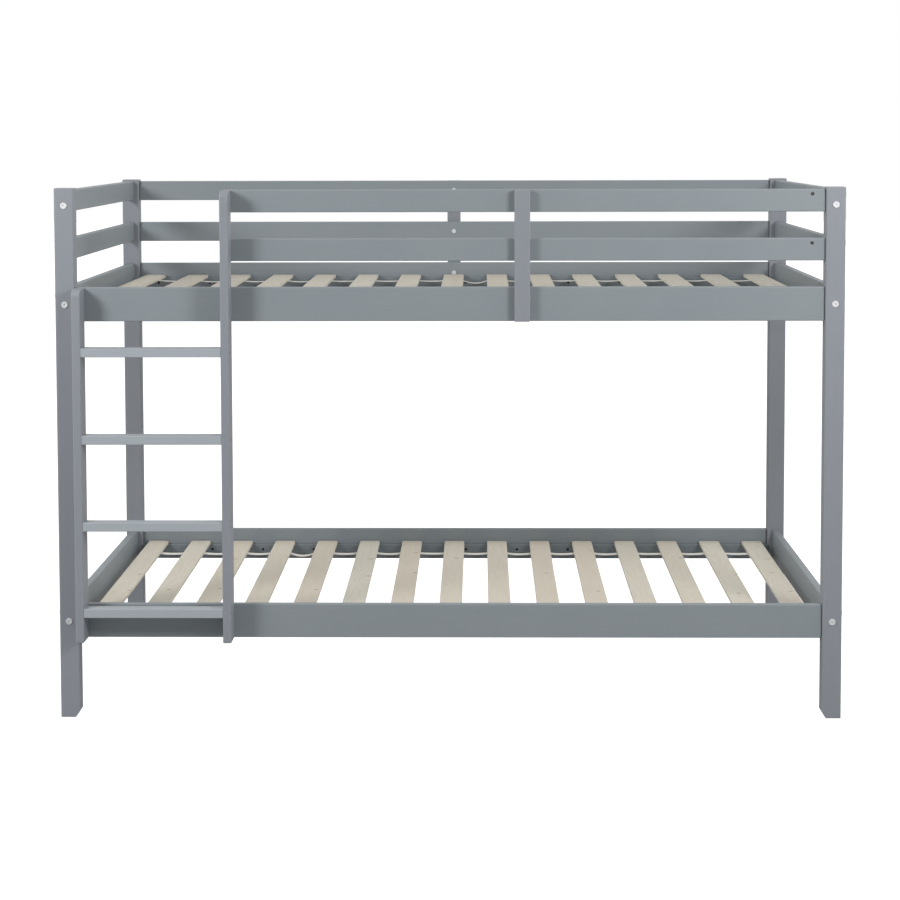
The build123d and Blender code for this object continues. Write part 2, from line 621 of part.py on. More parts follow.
def bed_nodes():
    """Every sub-part by its node name."""
    nodes = {}
    for end, side_x in SIDES_X.items():
        for face, side_y in SIDES_Y.items():
            nodes[f"post_{face}_{end}"] = post(side_x, side_y)
        for name, board in end_board_family(side_x).items():
            nodes[f"{end}_end_{name}"] = board
    for deck in RAIL_TOPS:
        for face, side_y in SIDES_Y.items():
            nodes[f"{deck}_{face}_rail"] = side_rail(deck, side_y)
            nodes[f"{deck}_{face}_ledger"] = ledger(deck, side_y)
    for level in GUARD_TOPS:
        for face, side_y in SIDES_Y.items():
            nodes[f"{face}_guard_rail_{level}"] = guard_rail(level, side_y)
    nodes["front_guard_upright"] = upright(FRONT_UPRIGHT_X, -1)
    nodes["rear_guard_upright"] = upright(REAR_UPRIGHT_X, 1)
    left_bolts = [LOWER_CROSS_BOLT_Z, UPPER_CROSS_BOLT_Z]
    nodes["ladder_stile_left"] = stile(LEFT_STILE_X, UPPER_RAIL_TOP, left_bolts, -1)
    right_bolts = left_bolts + GUARD_CROSS_BOLT_ZS
    nodes["ladder_stile_right"] = stile(RIGHT_STILE_X, GUARD_TOPS["top"], right_bolts, 1)
    for number, top in enumerate(RUNG_TOPS, start=1):
        nodes[f"ladder_rung_{number}"] = rung(top)
    for number, x in enumerate(SLAT_XS, start=1):
        nodes[f"lower_slat_{number:02d}"] = slat(x, LEDGER_TOPS["lower"])
    nodes["upper_slats"] = Compound([slat(x, LEDGER_TOPS["upper"]) for x in SLAT_XS])
    for deck, top in LEDGER_TOPS.items():
        nodes[f"{deck}_slat_straps"] = straps(top)
    nodes["rail_bolts"] = rail_bolts()
    nodes["end_board_bolts"] = end_board_bolts()
    nodes["barrel_nuts"] = barrel_nuts()
    nodes["wood_dowels"] = dowels()
    nodes["ledger_screws"] = ledger_screws()
    nodes["ladder_bolts"] = ladder_bolts()
    nodes["upright_bolts"] = upright_bolts()
    nodes["rung_screws"] = rung_screws()
    return nodes


os.makedirs("parts", exist_ok=True)
for node_name, shape in bed_nodes().items():
    export_step(shape, f"parts/{node_name}.step")
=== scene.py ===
# %% [markdown]
# # A painted bunk bed with a ladder
#
# The bed is a knock-down one: boards and posts of softwood, painted grey, held together with
# connector bolts and dowels. Bare slats lie loose on ledgers inside each pair of side rails.
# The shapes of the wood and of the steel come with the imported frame. What is made here is what
# a solid can't carry: the paint, the grain, the zinc, the woven straps and the staples.

# %% Load the frame
import json
import math
import random

import bpy
import mathutils
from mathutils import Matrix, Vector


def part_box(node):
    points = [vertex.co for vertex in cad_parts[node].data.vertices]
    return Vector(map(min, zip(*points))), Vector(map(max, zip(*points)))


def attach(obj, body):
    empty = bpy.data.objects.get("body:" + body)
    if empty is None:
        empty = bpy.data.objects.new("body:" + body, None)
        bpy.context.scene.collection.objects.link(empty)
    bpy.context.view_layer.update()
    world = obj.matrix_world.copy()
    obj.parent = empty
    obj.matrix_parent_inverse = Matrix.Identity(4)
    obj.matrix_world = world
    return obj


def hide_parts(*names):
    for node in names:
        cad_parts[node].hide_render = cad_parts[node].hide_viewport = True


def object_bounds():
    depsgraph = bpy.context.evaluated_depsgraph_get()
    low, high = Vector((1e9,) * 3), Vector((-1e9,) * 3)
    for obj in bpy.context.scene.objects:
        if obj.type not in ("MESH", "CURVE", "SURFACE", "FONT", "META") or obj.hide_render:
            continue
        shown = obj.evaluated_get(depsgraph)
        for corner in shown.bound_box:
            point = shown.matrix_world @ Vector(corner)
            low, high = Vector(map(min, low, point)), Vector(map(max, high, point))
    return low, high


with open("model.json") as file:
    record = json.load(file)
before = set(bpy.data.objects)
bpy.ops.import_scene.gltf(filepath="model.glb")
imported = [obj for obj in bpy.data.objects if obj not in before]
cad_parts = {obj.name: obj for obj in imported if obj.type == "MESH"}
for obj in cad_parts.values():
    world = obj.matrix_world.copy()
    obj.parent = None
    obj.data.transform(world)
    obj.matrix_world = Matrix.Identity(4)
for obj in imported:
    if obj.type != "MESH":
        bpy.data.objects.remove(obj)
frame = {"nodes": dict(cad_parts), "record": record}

cad_low, cad_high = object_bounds()
cad_nodes = frame["nodes"]

# %% [markdown]
# ## Small tools
#
# Three things are wanted again and again: a colour picked from a paint card, a shader node with
# its settings, and a length in millimetres. Writing each once keeps the recipes below short
# enough to read as recipes.

# %% Colours, lengths and nodes
MM = 0.001
WAVE_REPEAT = 0.314  # a wave texture repeats every 0.314 units at a scale of 1


def hex_colour(code):
    """The linear colour that a shader wants, from an sRGB hex code."""
    channels = [int(code[i:i + 2], 16) / 255 for i in (1, 3, 5)]
    linear = [c / 12.92 if c <= 0.04045 else ((c + 0.055) / 1.055) ** 2.4 for c in channels]
    return (*linear, 1.0)


def add(tree, kind, settings=None, inputs=None):
    """Add one node. An input that is a socket is linked, and any other value is set."""
    made = tree.nodes.new("ShaderNode" + kind)
    for name, value in (settings or {}).items():
        setattr(made, name, value)
    for name, value in (inputs or {}).items():
        if isinstance(value, bpy.types.NodeSocket):
            tree.links.new(value, made.inputs[name])
        else:
            made.inputs[name].default_value = value
    return made


def new_material(name):
    """A material with an empty node tree, and that tree."""
    material = bpy.data.materials.new(name)
    material.use_nodes = True
    material.node_tree.nodes.clear()
    return material, material.node_tree


def finish_surface(tree, shader):
    """Send a shader to the material's output."""
    add(tree, "OutputMaterial", inputs={"Surface": shader.outputs["BSDF"]})


print("mid grey #808080 is", round(hex_colour("#808080")[0], 3), "in linear light")

# %% [markdown]
# ## Grey satin paint over pine
#
# A bed like this could be sprayed with grey water-based satin lacquer on planed softwood. The eye
# sees two things in it: the paint's even, slightly cool grey, and the grain that still prints
# through as faint ridges along each board. Every edge is drawn a lighter grey, a painted highlight
# for the light that rounded edges catch. A noise pulled out along the grain gives the ridges. A
# board runs along X, Y or Z, so the same recipe is made three times with the stretch on a
# different axis. Upright pieces look a touch more violet and treads paler, so they get greys of
# their own. Why they differ isn't known: it may be the paint, or only light that these lamps don't
# repeat. Ledgers get a darker grey of their own, painted shade for the shade under the slats.

# %% Grey paint
PAINT_GREY = "#8E9599"
PAINT_GREY_COOL = "#878F95"
# painted highlight: a lighter grey mixed onto every edge, for the light that rounded edges catch
PAINT_GREY_EDGE_HIGHLIGHT = "#A3AAAD"
PAINT_RUNG = "#A9B0B5"
PAINT_RUNG_COOL = "#A3AAB1"
PAINT_UPRIGHT = "#90939A"  # posts, stiles and uprights
PAINT_UPRIGHT_COOL = "#898E96"
# painted shade: the ledgers' darker grey stands for the shade they lie in under the slats
PAINT_LEDGER_PAINTED_SHADE = "#7C8388"
PAINT_LEDGER_PAINTED_SHADE_COOL = "#767E84"
PAINT_IN_RIDGES = "#6F777C"
GRAIN_ACROSS_MM = 2.6  # between grain ridges, across a board
GRAIN_ALONG_MM = 110.0  # how long one ridge runs
PAINT_PEEL_MM = 1.6  # the sprayed coat's fine ripple
BLOTCH_MM = 260.0
EDGE_MM = 3.5


def grain_scale(axis, across_mm, along_mm):
    """Texture repeats per metre on X, Y and Z, with the long one on the grain's axis."""
    return [1 / ((along_mm if letter == axis else across_mm) * MM) for letter in "XYZ"]


def grey_painted_pine(name, grain_axis, grey, cool_grey):
    """Satin paint with the grain printing through along one axis."""
    material, tree = new_material(name)
    place = add(tree, "TexCoord").outputs["Object"]
    stretched = add(tree, "VectorMath", {"operation": "MULTIPLY"}, {0: place})
    stretched.inputs[1].default_value = grain_scale(grain_axis, GRAIN_ACROSS_MM, GRAIN_ALONG_MM)
    grain = add(tree, "TexNoise", inputs={
        "Vector": stretched.outputs["Vector"], "Scale": 1.0, "Detail": 3.0, "Roughness": 0.55})
    peel = add(tree, "TexNoise", inputs={
        "Vector": place, "Scale": 1 / (PAINT_PEEL_MM * MM), "Detail": 1.0})
    blotch = add(tree, "TexNoise", inputs={
        "Vector": place, "Scale": 1 / (BLOTCH_MM * MM), "Detail": 4.0, "Roughness": 0.6})
    # the edge finder: a rounded normal leans away from the true one only near an edge
    rounded = add(tree, "Bevel", {"samples": 4}, {"Radius": EDGE_MM * MM})
    true_normal = add(tree, "NewGeometry").outputs["Normal"]
    lean = add(tree, "VectorMath", {"operation": "DOT_PRODUCT"}, {
        0: rounded.outputs["Normal"], 1: true_normal})
    edge = add(tree, "MapRange", inputs={
        "Value": lean.outputs["Value"], "From Min": 0.995, "From Max": 0.90,
        "To Min": 0.0, "To Max": 0.55})
    base = add(tree, "Mix", {"data_type": "RGBA"}, {
        "Factor": blotch.outputs["Fac"], 6: hex_colour(cool_grey), 7: hex_colour(grey)})
    ridge_tone = add(tree, "MapRange", inputs={
        "Value": grain.outputs["Fac"], "From Min": 0.3, "From Max": 0.7,
        "To Min": 0.0, "To Max": 0.10})
    grained = add(tree, "Mix", {"data_type": "RGBA"}, {
        "Factor": ridge_tone.outputs["Result"], 6: base.outputs[2],
        7: hex_colour(PAINT_IN_RIDGES)})
    # painted highlight: near an edge the colour is mixed towards a lighter grey
    highlighted_edges = add(tree, "Mix", {"data_type": "RGBA"}, {
        "Factor": edge.outputs["Result"], 6: grained.outputs[2], 7: hex_colour(PAINT_GREY_EDGE_HIGHLIGHT)})
    sheen = add(tree, "MapRange", inputs={
        "Value": blotch.outputs["Fac"], "From Min": 0.3, "From Max": 0.7,
        "To Min": 0.38, "To Max": 0.5})
    ridges = add(tree, "Bump", inputs={
        "Height": grain.outputs["Fac"], "Strength": 0.35, "Distance": 0.25 * MM})
    surface = add(tree, "Bump", inputs={
        "Height": peel.outputs["Fac"], "Strength": 0.15, "Distance": 0.06 * MM,
        "Normal": ridges.outputs["Normal"]})
    paint = add(tree, "BsdfPrincipled", inputs={
        "Base Color": highlighted_edges.outputs[2], "Roughness": sheen.outputs["Result"],
        "Normal": surface.outputs["Normal"], "IOR": 1.5})
    finish_surface(tree, paint)
    return material


paint_along = {
    "X": grey_painted_pine("grey_satin_paint_grain_x", "X", PAINT_GREY, PAINT_GREY_COOL),
    "Y": grey_painted_pine("grey_satin_paint_grain_y", "Y", PAINT_GREY, PAINT_GREY_COOL),
    "Z": grey_painted_pine("grey_satin_paint_grain_z", "Z", PAINT_UPRIGHT, PAINT_UPRIGHT_COOL),
}
rung_paint = grey_painted_pine("pale_grey_satin_paint", "X", PAINT_RUNG, PAINT_RUNG_COOL)
# painted shade: a darker grey for the ledgers, in place of the shade under the slats
ledger_painted_shade = grey_painted_pine("ledger_grey_with_painted_shade", "X", PAINT_LEDGER_PAINTED_SHADE, PAINT_LEDGER_PAINTED_SHADE_COOL)
print("paint:", [material.name for material in paint_along.values()])
print("and:", rung_paint.name, ledger_painted_shade.name)

# %% [markdown]
# ## Bare pine slats
#
# The slats look like planed pine with no finish. Each is sawn from a different part of the log, so
# the growth rings cut its face as long arches, and a small knot turns up here and there. Rings
# around an axis that lies off to one side of each slat give the arches, as in the log. A random
# number for each slat, from its place along the bed, moves that axis, so no two slats match.

# %% Pine
PINE_EARLY = "#DDD8CA"
PINE_LATE = "#D3CBB8"
PINE_ROSY = "#DAD1C1"
PINE_FLECK = "#BCAE97"
KNOT_CORE = "#8A6B50"
KNOT_HALO = "#B99F82"
RING_MM = 4.2
KNOT_SPACING_MM = 240.0
KNOT_SHARE = 0.45  # how many places have one
KNOT_CORE_MM = 2.6
KNOT_EDGE_MM = 7.0
KNOT_BEND_MM = 8.0  # how far the rings step aside at a knot
KNOT_BEND_REACH_MM = 30.0
PITH_ACROSS_MM = 45.0  # the log's middle lies up to this far to either side of the slat
PITH_UNDER_MM = (25.0, 70.0)
PITH_WANDER_MM = 16.0
DECK_SEED = 37.0  # keeps the two decks' slats apart in the random draw
slat_low, slat_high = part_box("lower_slat_01")
next_slat_low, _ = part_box("lower_slat_02")
slat_pitch = next_slat_low.x - slat_low.x


def bare_pine():
    """Unfinished planed pine with its grain along Y."""
    material, tree = new_material("bare_planed_pine")
    place = add(tree, "TexCoord").outputs["Object"]
    axes = add(tree, "SeparateXYZ", inputs={"Vector": place})
    count = add(tree, "Math", {"operation": "DIVIDE"}, {0: axes.outputs["X"], 1: slat_pitch})
    slat_number = add(tree, "Math", {"operation": "ROUND"}, {0: count.outputs[0]})
    deck = add(tree, "Math", {"operation": "ROUND"}, {0: axes.outputs["Z"]})
    seed = add(tree, "Math", {"operation": "MULTIPLY_ADD"}, {
        0: deck.outputs[0], 1: DECK_SEED, 2: slat_number.outputs[0]})
    chance = add(tree, "TexWhiteNoise", {"noise_dimensions": "1D"}, {"W": seed.outputs[0]})
    slat_middle = add(tree, "Math", {"operation": "MULTIPLY"}, {
        0: slat_number.outputs[0], 1: slat_pitch})
    across = add(tree, "Math", {"operation": "SUBTRACT"}, {
        0: axes.outputs["X"], 1: slat_middle.outputs[0]})
    luck = add(tree, "SeparateColor", inputs={"Color": chance.outputs["Color"]})
    pith_x = add(tree, "MapRange", inputs={
        "Value": luck.outputs[0], "To Min": -PITH_ACROSS_MM * MM, "To Max": PITH_ACROSS_MM * MM})
    pith_z = add(tree, "MapRange", inputs={
        "Value": luck.outputs[1], "To Min": PITH_UNDER_MM[0] * MM, "To Max": PITH_UNDER_MM[1] * MM})
    deck_z = add(tree, "Math", {"operation": "SUBTRACT"}, {
        0: axes.outputs["Z"], 1: deck.outputs[0]})
    shifted = add(tree, "VectorMath", {"operation": "ADD"}, {0: place, 1: chance.outputs["Color"]})
    wander_place = add(tree, "VectorMath", {"operation": "MULTIPLY"}, {0: shifted.outputs[0]})
    wander_place.inputs[1].default_value = grain_scale("Y", 45.0, 420.0)
    wander = add(tree, "TexNoise", inputs={
        "Vector": wander_place.outputs[0], "Scale": 1.0, "Detail": 2.0})
    lean = add(tree, "MapRange", inputs={
        "Value": wander.outputs["Fac"], "To Min": -PITH_WANDER_MM * MM,
        "To Max": PITH_WANDER_MM * MM})
    # one cell of this pattern is one slat wide, and only some cells hold a knot
    cell = add(tree, "VectorMath", {"operation": "DIVIDE"}, {0: place})
    cell.inputs[1].default_value = (slat_pitch, KNOT_SPACING_MM * MM, 1.0)
    knots = add(tree, "TexVoronoi", {"voronoi_dimensions": "2D"}, {
        "Vector": cell.outputs[0], "Scale": 1.0, "Randomness": 0.45})
    to_knot = add(tree, "VectorMath", {"operation": "SUBTRACT"}, {
        0: cell.outputs[0], 1: knots.outputs["Position"]})
    to_knot = add(tree, "VectorMath", {"operation": "MULTIPLY"}, {0: to_knot.outputs[0]})
    to_knot.inputs[1].default_value = (slat_pitch, KNOT_SPACING_MM * MM, 0.0)
    knot_gap = add(tree, "VectorMath", {"operation": "LENGTH"}, {0: to_knot.outputs[0]})
    knot_luck = add(tree, "SeparateColor", inputs={"Color": knots.outputs["Color"]})
    no_knot = add(tree, "Math", {"operation": "GREATER_THAN"}, {
        0: knot_luck.outputs[0], 1: KNOT_SHARE})
    from_knot = add(tree, "Math", {"operation": "ADD"}, {
        0: knot_gap.outputs["Value"], 1: no_knot.outputs[0]})
    bend = add(tree, "MapRange", {"interpolation_type": "SMOOTHSTEP"}, {
        "Value": from_knot.outputs[0], "From Min": 0.0, "From Max": KNOT_BEND_REACH_MM * MM,
        "To Min": KNOT_BEND_MM * MM, "To Max": 0.0})
    ring_x = add(tree, "Math", {"operation": "ADD"}, {0: across.outputs[0], 1: pith_x.outputs[0]})
    ring_x = add(tree, "Math", {"operation": "ADD"}, {0: ring_x.outputs[0], 1: bend.outputs[0]})
    ring_z = add(tree, "Math", {"operation": "ADD"}, {0: deck_z.outputs[0], 1: pith_z.outputs[0]})
    ring_z = add(tree, "Math", {"operation": "ADD"}, {0: ring_z.outputs[0], 1: lean.outputs[0]})
    log_place = add(tree, "CombineXYZ", inputs={"X": ring_x.outputs[0], "Z": ring_z.outputs[0]})
    rings = add(tree, "TexWave", {"wave_type": "RINGS", "rings_direction": "Y"}, {
        "Vector": log_place.outputs[0], "Scale": WAVE_REPEAT / (RING_MM * MM), "Distortion": 0.0})
    late_wood = add(tree, "MapRange", {"interpolation_type": "SMOOTHERSTEP"}, {
        "Value": rings.outputs["Fac"], "From Min": 0.35, "From Max": 1.0,
        "To Min": 0.0, "To Max": 0.4})
    fibre_place = add(tree, "VectorMath", {"operation": "MULTIPLY"}, {0: shifted.outputs[0]})
    fibre_place.inputs[1].default_value = grain_scale("Y", 1.1, 60.0)
    fibre = add(tree, "TexNoise", inputs={
        "Vector": fibre_place.outputs[0], "Scale": 1.0, "Detail": 2.0})
    tone = add(tree, "Mix", {"data_type": "RGBA"}, {
        "Factor": luck.outputs[2], 6: hex_colour(PINE_EARLY), 7: hex_colour(PINE_ROSY)})
    ringed = add(tree, "Mix", {"data_type": "RGBA"}, {
        "Factor": late_wood.outputs["Result"], 6: tone.outputs[2], 7: hex_colour(PINE_LATE)})
    fleck = add(tree, "MapRange", inputs={
        "Value": fibre.outputs["Fac"], "From Min": 0.55, "From Max": 0.8,
        "To Min": 0.0, "To Max": 0.16})
    fibred = add(tree, "Mix", {"data_type": "RGBA"}, {
        "Factor": fleck.outputs["Result"], 6: ringed.outputs[2], 7: hex_colour(PINE_FLECK)})
    halo = add(tree, "MapRange", {"interpolation_type": "SMOOTHSTEP"}, {
        "Value": from_knot.outputs[0], "From Min": KNOT_EDGE_MM * MM * 1.6,
        "From Max": KNOT_CORE_MM * MM, "To Min": 0.0, "To Max": 0.55})
    haloed = add(tree, "Mix", {"data_type": "RGBA"}, {
        "Factor": halo.outputs["Result"], 6: fibred.outputs[2], 7: hex_colour(KNOT_HALO)})
    core = add(tree, "MapRange", {"interpolation_type": "SMOOTHSTEP"}, {
        "Value": from_knot.outputs[0], "From Min": KNOT_EDGE_MM * MM * 0.6,
        "From Max": KNOT_CORE_MM * MM * 0.6, "To Min": 0.0, "To Max": 0.7})
    knotted = add(tree, "Mix", {"data_type": "RGBA"}, {
        "Factor": core.outputs["Result"], 6: haloed.outputs[2], 7: hex_colour(KNOT_CORE)})
    planed = add(tree, "Bump", inputs={
        "Height": fibre.outputs["Fac"], "Strength": 0.3, "Distance": 0.15 * MM})
    wood = add(tree, "BsdfPrincipled", inputs={
        "Base Color": knotted.outputs[2], "Roughness": 0.62, "IOR": 1.5,
        "Normal": planed.outputs["Normal"]})
    finish_surface(tree, wood)
    return material


pine = bare_pine()
print("slats lie", round(slat_pitch / MM), "mm apart, with a growth ring every", RING_MM, "mm")

# %% [markdown]
# ## Beech dowels
#
# Dowels are usually turned from beech, harder and browner than the slats, and end up out of sight
# in their holes. Short dark flecks along the grain are what tells beech from pine.

# %% Beech
BEECH = "#C8A480"
BEECH_FLECK = "#9C7654"


def turned_beech():
    """Plain beech with short flecks."""
    material, tree = new_material("turned_beech")
    place = add(tree, "TexCoord").outputs["Object"]
    fleck = add(tree, "TexNoise", inputs={"Vector": place, "Scale": 1 / (1.5 * MM), "Detail": 2.0})
    shade = add(tree, "MapRange", inputs={
        "Value": fleck.outputs["Fac"], "From Min": 0.5, "From Max": 0.75, "To Max": 0.6})
    colour = add(tree, "Mix", {"data_type": "RGBA"}, {
        "Factor": shade.outputs["Result"], 6: hex_colour(BEECH), 7: hex_colour(BEECH_FLECK)})
    wood = add(tree, "BsdfPrincipled", inputs={
        "Base Color": colour.outputs[2], "Roughness": 0.55, "IOR": 1.5})
    finish_surface(tree, wood)
    return material


beech = turned_beech()
print("dowels:", beech.name)

# %% [markdown]
# ## Bright zinc and black screws
#
# Connector bolts are steel with a bright zinc plate: a pale metal whose gloss is slightly uneven,
# with fine scuffs from the key and the packing. Barrel nuts sit sunk in their holes, in shade, and
# their zinc is drawn dark: that is painted shade for the hole. The wood screws are black
# phosphated, which is dark and a little grainy. All are metals, so they keep the default index of
# refraction and differ only in colour and roughness.

# %% Zinc and phosphated steel
ZINC = "#F0F1F2"
ZINC_SCUFF = "#DADBDC"
# painted shade: the barrel nuts' zinc is drawn dark for the shade in the holes they sit in
NUT_ZINC_PAINTED_SHADE = "#6A6A69"
NUT_ZINC_PAINTED_SHADE_SCUFF = "#4E4E4D"
PHOSPHATE = "#2B2C2E"
PHOSPHATE_SCUFF = "#3A3B3D"
SCUFF_MM = 0.9


def plated_metal(name, colour, scuffed, low_roughness, high_roughness):
    """A metal whose colour and gloss vary with small scuffs."""
    material, tree = new_material(name)
    place = add(tree, "TexCoord").outputs["Object"]
    scuff = add(tree, "TexNoise", inputs={
        "Vector": place, "Scale": 1 / (SCUFF_MM * MM), "Detail": 4.0, "Roughness": 0.65})
    tone = add(tree, "Mix", {"data_type": "RGBA"}, {
        "Factor": scuff.outputs["Fac"], 6: hex_colour(colour), 7: hex_colour(scuffed)})
    gloss = add(tree, "MapRange", inputs={
        "Value": scuff.outputs["Fac"], "From Min": 0.3, "From Max": 0.7,
        "To Min": low_roughness, "To Max": high_roughness})
    pitted = add(tree, "Bump", inputs={
        "Height": scuff.outputs["Fac"], "Strength": 0.2, "Distance": 0.03 * MM})
    metal = add(tree, "BsdfPrincipled", inputs={
        "Base Color": tone.outputs[2], "Metallic": 1.0, "Roughness": gloss.outputs["Result"],
        "Normal": pitted.outputs["Normal"]})
    finish_surface(tree, metal)
    return material


zinc = plated_metal("bright_zinc_plate", ZINC, ZINC_SCUFF, 0.6, 0.8)
# painted shade: a dark zinc for the barrel nuts, standing for the shade in their holes
nut_zinc_painted_shade = plated_metal("barrel_nut_zinc_painted_shade", NUT_ZINC_PAINTED_SHADE, NUT_ZINC_PAINTED_SHADE_SCUFF, 0.4, 0.6)
phosphate = plated_metal("black_phosphated_steel", PHOSPHATE, PHOSPHATE_SCUFF, 0.45, 0.65)
print("metals:", zinc.name, nut_zinc_painted_shade.name, phosphate.name)

# %% [markdown]
# ## Cotton webbing
#
# The straps look like undyed cotton tape in a plain weave. Warp and weft cross at right angles, so two
# sets of bands at right angles, multiplied, make the little pillows of the weave. A real thread
# is near 0.6 mm, which no view of a whole bed can show, so the threads here are drawn 1.8 mm
# wide. Loose fibres scatter light at the rim, which the sheen gives.

# %% Webbing
COTTON = "#FAF9F5"
COTTON_SHADOW = "#E2E0D8"
THREAD_MM = 1.8


def cotton_webbing():
    """Undyed plain-weave cotton tape that lies in the XY plane."""
    material, tree = new_material("undyed_cotton_webbing")
    place = add(tree, "TexCoord").outputs["Object"]
    threads = []
    for direction in "XY":
        threads.append(add(tree, "TexWave", {"wave_type": "BANDS", "bands_direction": direction}, {
            "Vector": place, "Scale": WAVE_REPEAT / (THREAD_MM * MM), "Distortion": 0.4,
            "Detail": 1.0}).outputs["Fac"])
    weave = add(tree, "Math", {"operation": "MULTIPLY"}, {0: threads[0], 1: threads[1]})
    colour = add(tree, "Mix", {"data_type": "RGBA"}, {
        "Factor": weave.outputs[0], 6: hex_colour(COTTON_SHADOW), 7: hex_colour(COTTON)})
    pillows = add(tree, "Bump", inputs={
        "Height": weave.outputs[0], "Strength": 0.6, "Distance": 0.3 * MM})
    cloth = add(tree, "BsdfPrincipled", inputs={
        "Base Color": colour.outputs[2], "Roughness": 0.9, "Normal": pillows.outputs["Normal"],
        "Sheen Weight": 0.25, "Sheen Roughness": 0.5})
    finish_surface(tree, cloth)
    return material


webbing = cotton_webbing()
print("webbing threads are drawn", THREAD_MM, "mm wide")

# %% [markdown]
# ## Finishing the frame's own pieces
#
# Every solid keeps its shape and only gets its finish. The record already says which finish each
# node has, so that is read from the record. A painted piece also needs its grain direction,
# which is always the piece's longest side, so the box of the node tells it.

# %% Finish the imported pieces
finish_of_slot = {
    "bare_wood": pine, "dowel_wood": beech, "zinc_steel": zinc,
    "dark_screw": phosphate, "webbing": webbing,
}
slot_of_node = {part["node"]: part["material_slot"] for part in frame["record"]["subparts"]}


def longest_axis(node_name):
    """The letter of the axis along which a node is longest."""
    low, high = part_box(node_name)
    sides = high - low
    return max("XYZ", key=lambda letter: sides["XYZ".index(letter)])


painted = 0
for node_name, node in cad_nodes.items():
    slot = slot_of_node[node_name]
    finish = finish_of_slot.get(slot)
    if finish is None:
        finish = paint_along[longest_axis(node_name)]
        painted += 1
    if node_name.startswith("ladder_rung"):
        finish = rung_paint
    # painted shade: ledgers get the darker grey that stands for the shade under the slats
    if node_name.endswith("_ledger"):
        finish = ledger_painted_shade
    # painted shade: barrel nuts get the dark zinc that stands for the shade in their holes
    if node_name == "barrel_nuts":
        finish = nut_zinc_painted_shade
    node.data.materials.clear()
    node.data.materials.append(finish)
print(painted, "painted pieces and", len(cad_nodes) - painted, "others")

# %% [markdown]
# ## Webbing straps
#
# Two straps run under each deck and are stapled to every slat, so the slats roll up for packing
# and keep their spacing on the bed. Between two slats the tape is slack and hangs in a shallow
# curve, and no two gaps hang alike. A parabola is the right curve for a slack tape on a short
# span. The strap is swept as a flat section along that line: a simulation would give the same
# curve, and would lose the crisp edges of a tape that is barely over a millimetre thick.

# %% Straps
STRAP_WIDTH = 25 * MM
STRAP_THICK = 1.2 * MM
SAG_RANGE_MM = (0.8, 2.6)
DEEP_SAG_MM = 7.0
STEPS_IN_GAP = 10
EDGE_ROUND = 0.4 * MM

slat_width = slat_high.x - slat_low.x
slat_count = sum(name.startswith("lower_slat_") and name[-1].isdigit() for name in cad_nodes)
slat_middles = [(slat_low.x + slat_high.x) / 2 + slat_pitch * i for i in range(slat_count)]


def strap_line(under_z, sags, drifts):
    """Points (x, drift in y, z) of a strap, level under each slat and slack between two."""
    points = []
    for i, middle in enumerate(slat_middles):
        left, right = middle - slat_width / 2, middle + slat_width / 2
        drift = drifts[i]
        points += [(left, drift, under_z), (middle, drift, under_z), (right, drift, under_z)]
        if i + 1 < slat_count:
            gap = slat_pitch - slat_width
            for step in range(1, STEPS_IN_GAP):
                t = step / STEPS_IN_GAP
                slack = 4 * t * (1 - t) * sags[i]
                side = drift + (drifts[i + 1] - drift) * t
                points.append((right + gap * t, side, under_z - slack))
    return points


def tape_section(width):
    """Outline of a tape's cross-section as (side, height), from its middle, edges rounded."""
    half, thin = width / 2, STRAP_THICK / 2
    inner = half - EDGE_ROUND
    return [(-inner, thin), (-half, 0.0), (-inner, -thin), (inner, -thin), (half, 0.0), (inner, thin)]


def sweep_tape(name, line, middle_y, width):
    """A closed tape swept along a line that runs in X."""
    section = tape_section(width)
    vertices = [
        (x, middle_y + drift + side, z + height) for x, drift, z in line for side, height in section]
    ring = len(section)
    faces = [tuple(range(ring))]
    for i in range(len(line) - 1):
        for j in range(ring):
            k = (j + 1) % ring
            faces.append((i * ring + k, i * ring + j, (i + 1) * ring + j, (i + 1) * ring + k))
    last = (len(line) - 1) * ring
    faces.append(tuple(last + j for j in reversed(range(ring))))
    mesh = bpy.data.meshes.new(name)
    mesh.from_pydata(vertices, [], faces)
    mesh.validate()
    mesh.shade_smooth()
    mesh.set_sharp_from_angle(angle=math.radians(50))
    piece = bpy.data.objects.new(name, mesh)
    bpy.context.scene.collection.objects.link(piece)
    return piece


def line_length(line):
    """Length along a list of points."""
    return sum((mathutils.Vector(b) - mathutils.Vector(a)).length for a, b in zip(line, line[1:]))


def make_strap(deck, side, seed, deep_gaps=(), drift_at=None):
    """One strap of one deck: it rides with the deck and stands for the plain CAD strip."""
    chance = random.Random(seed)
    low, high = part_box(deck + "_slat_straps")
    half = STRAP_WIDTH / 2
    middle_y = low.y + half if side == "front" else high.y - half
    sags = [chance.uniform(*SAG_RANGE_MM) * MM for _ in range(slat_count - 1)]
    for gap in deep_gaps:
        sags[gap] = DEEP_SAG_MM * MM
    drifts = [chance.uniform(-2, 2) * MM for _ in range(slat_count)]
    for slat_index, drift in (drift_at or {}).items():
        drifts[slat_index] = drift * MM
    under_z = high.z - STRAP_THICK / 2
    line = strap_line(under_z, sags, drifts)
    name = f"{deck}_{side}_strap"
    piece = sweep_tape(name, line, middle_y, STRAP_WIDTH)
    piece.data.materials.append(webbing)
    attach(piece, deck + "_slat_deck")
    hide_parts(deck + "_slat_straps")
    length = line_length(line)
    return piece, length


for deck, side, seed, deep_gaps, drift_at in (
        ("lower", "front", 3, (), None),
        ("lower", "rear", 5, (3,), None),
        ("upper", "front", 8, (9,), None),
        ("upper", "rear", 13, (7,), {0: 30.0}),
):
    strap, length = make_strap(deck, side, seed, deep_gaps, drift_at)
    print(strap.name, "is cut", round(length / MM), "mm long")

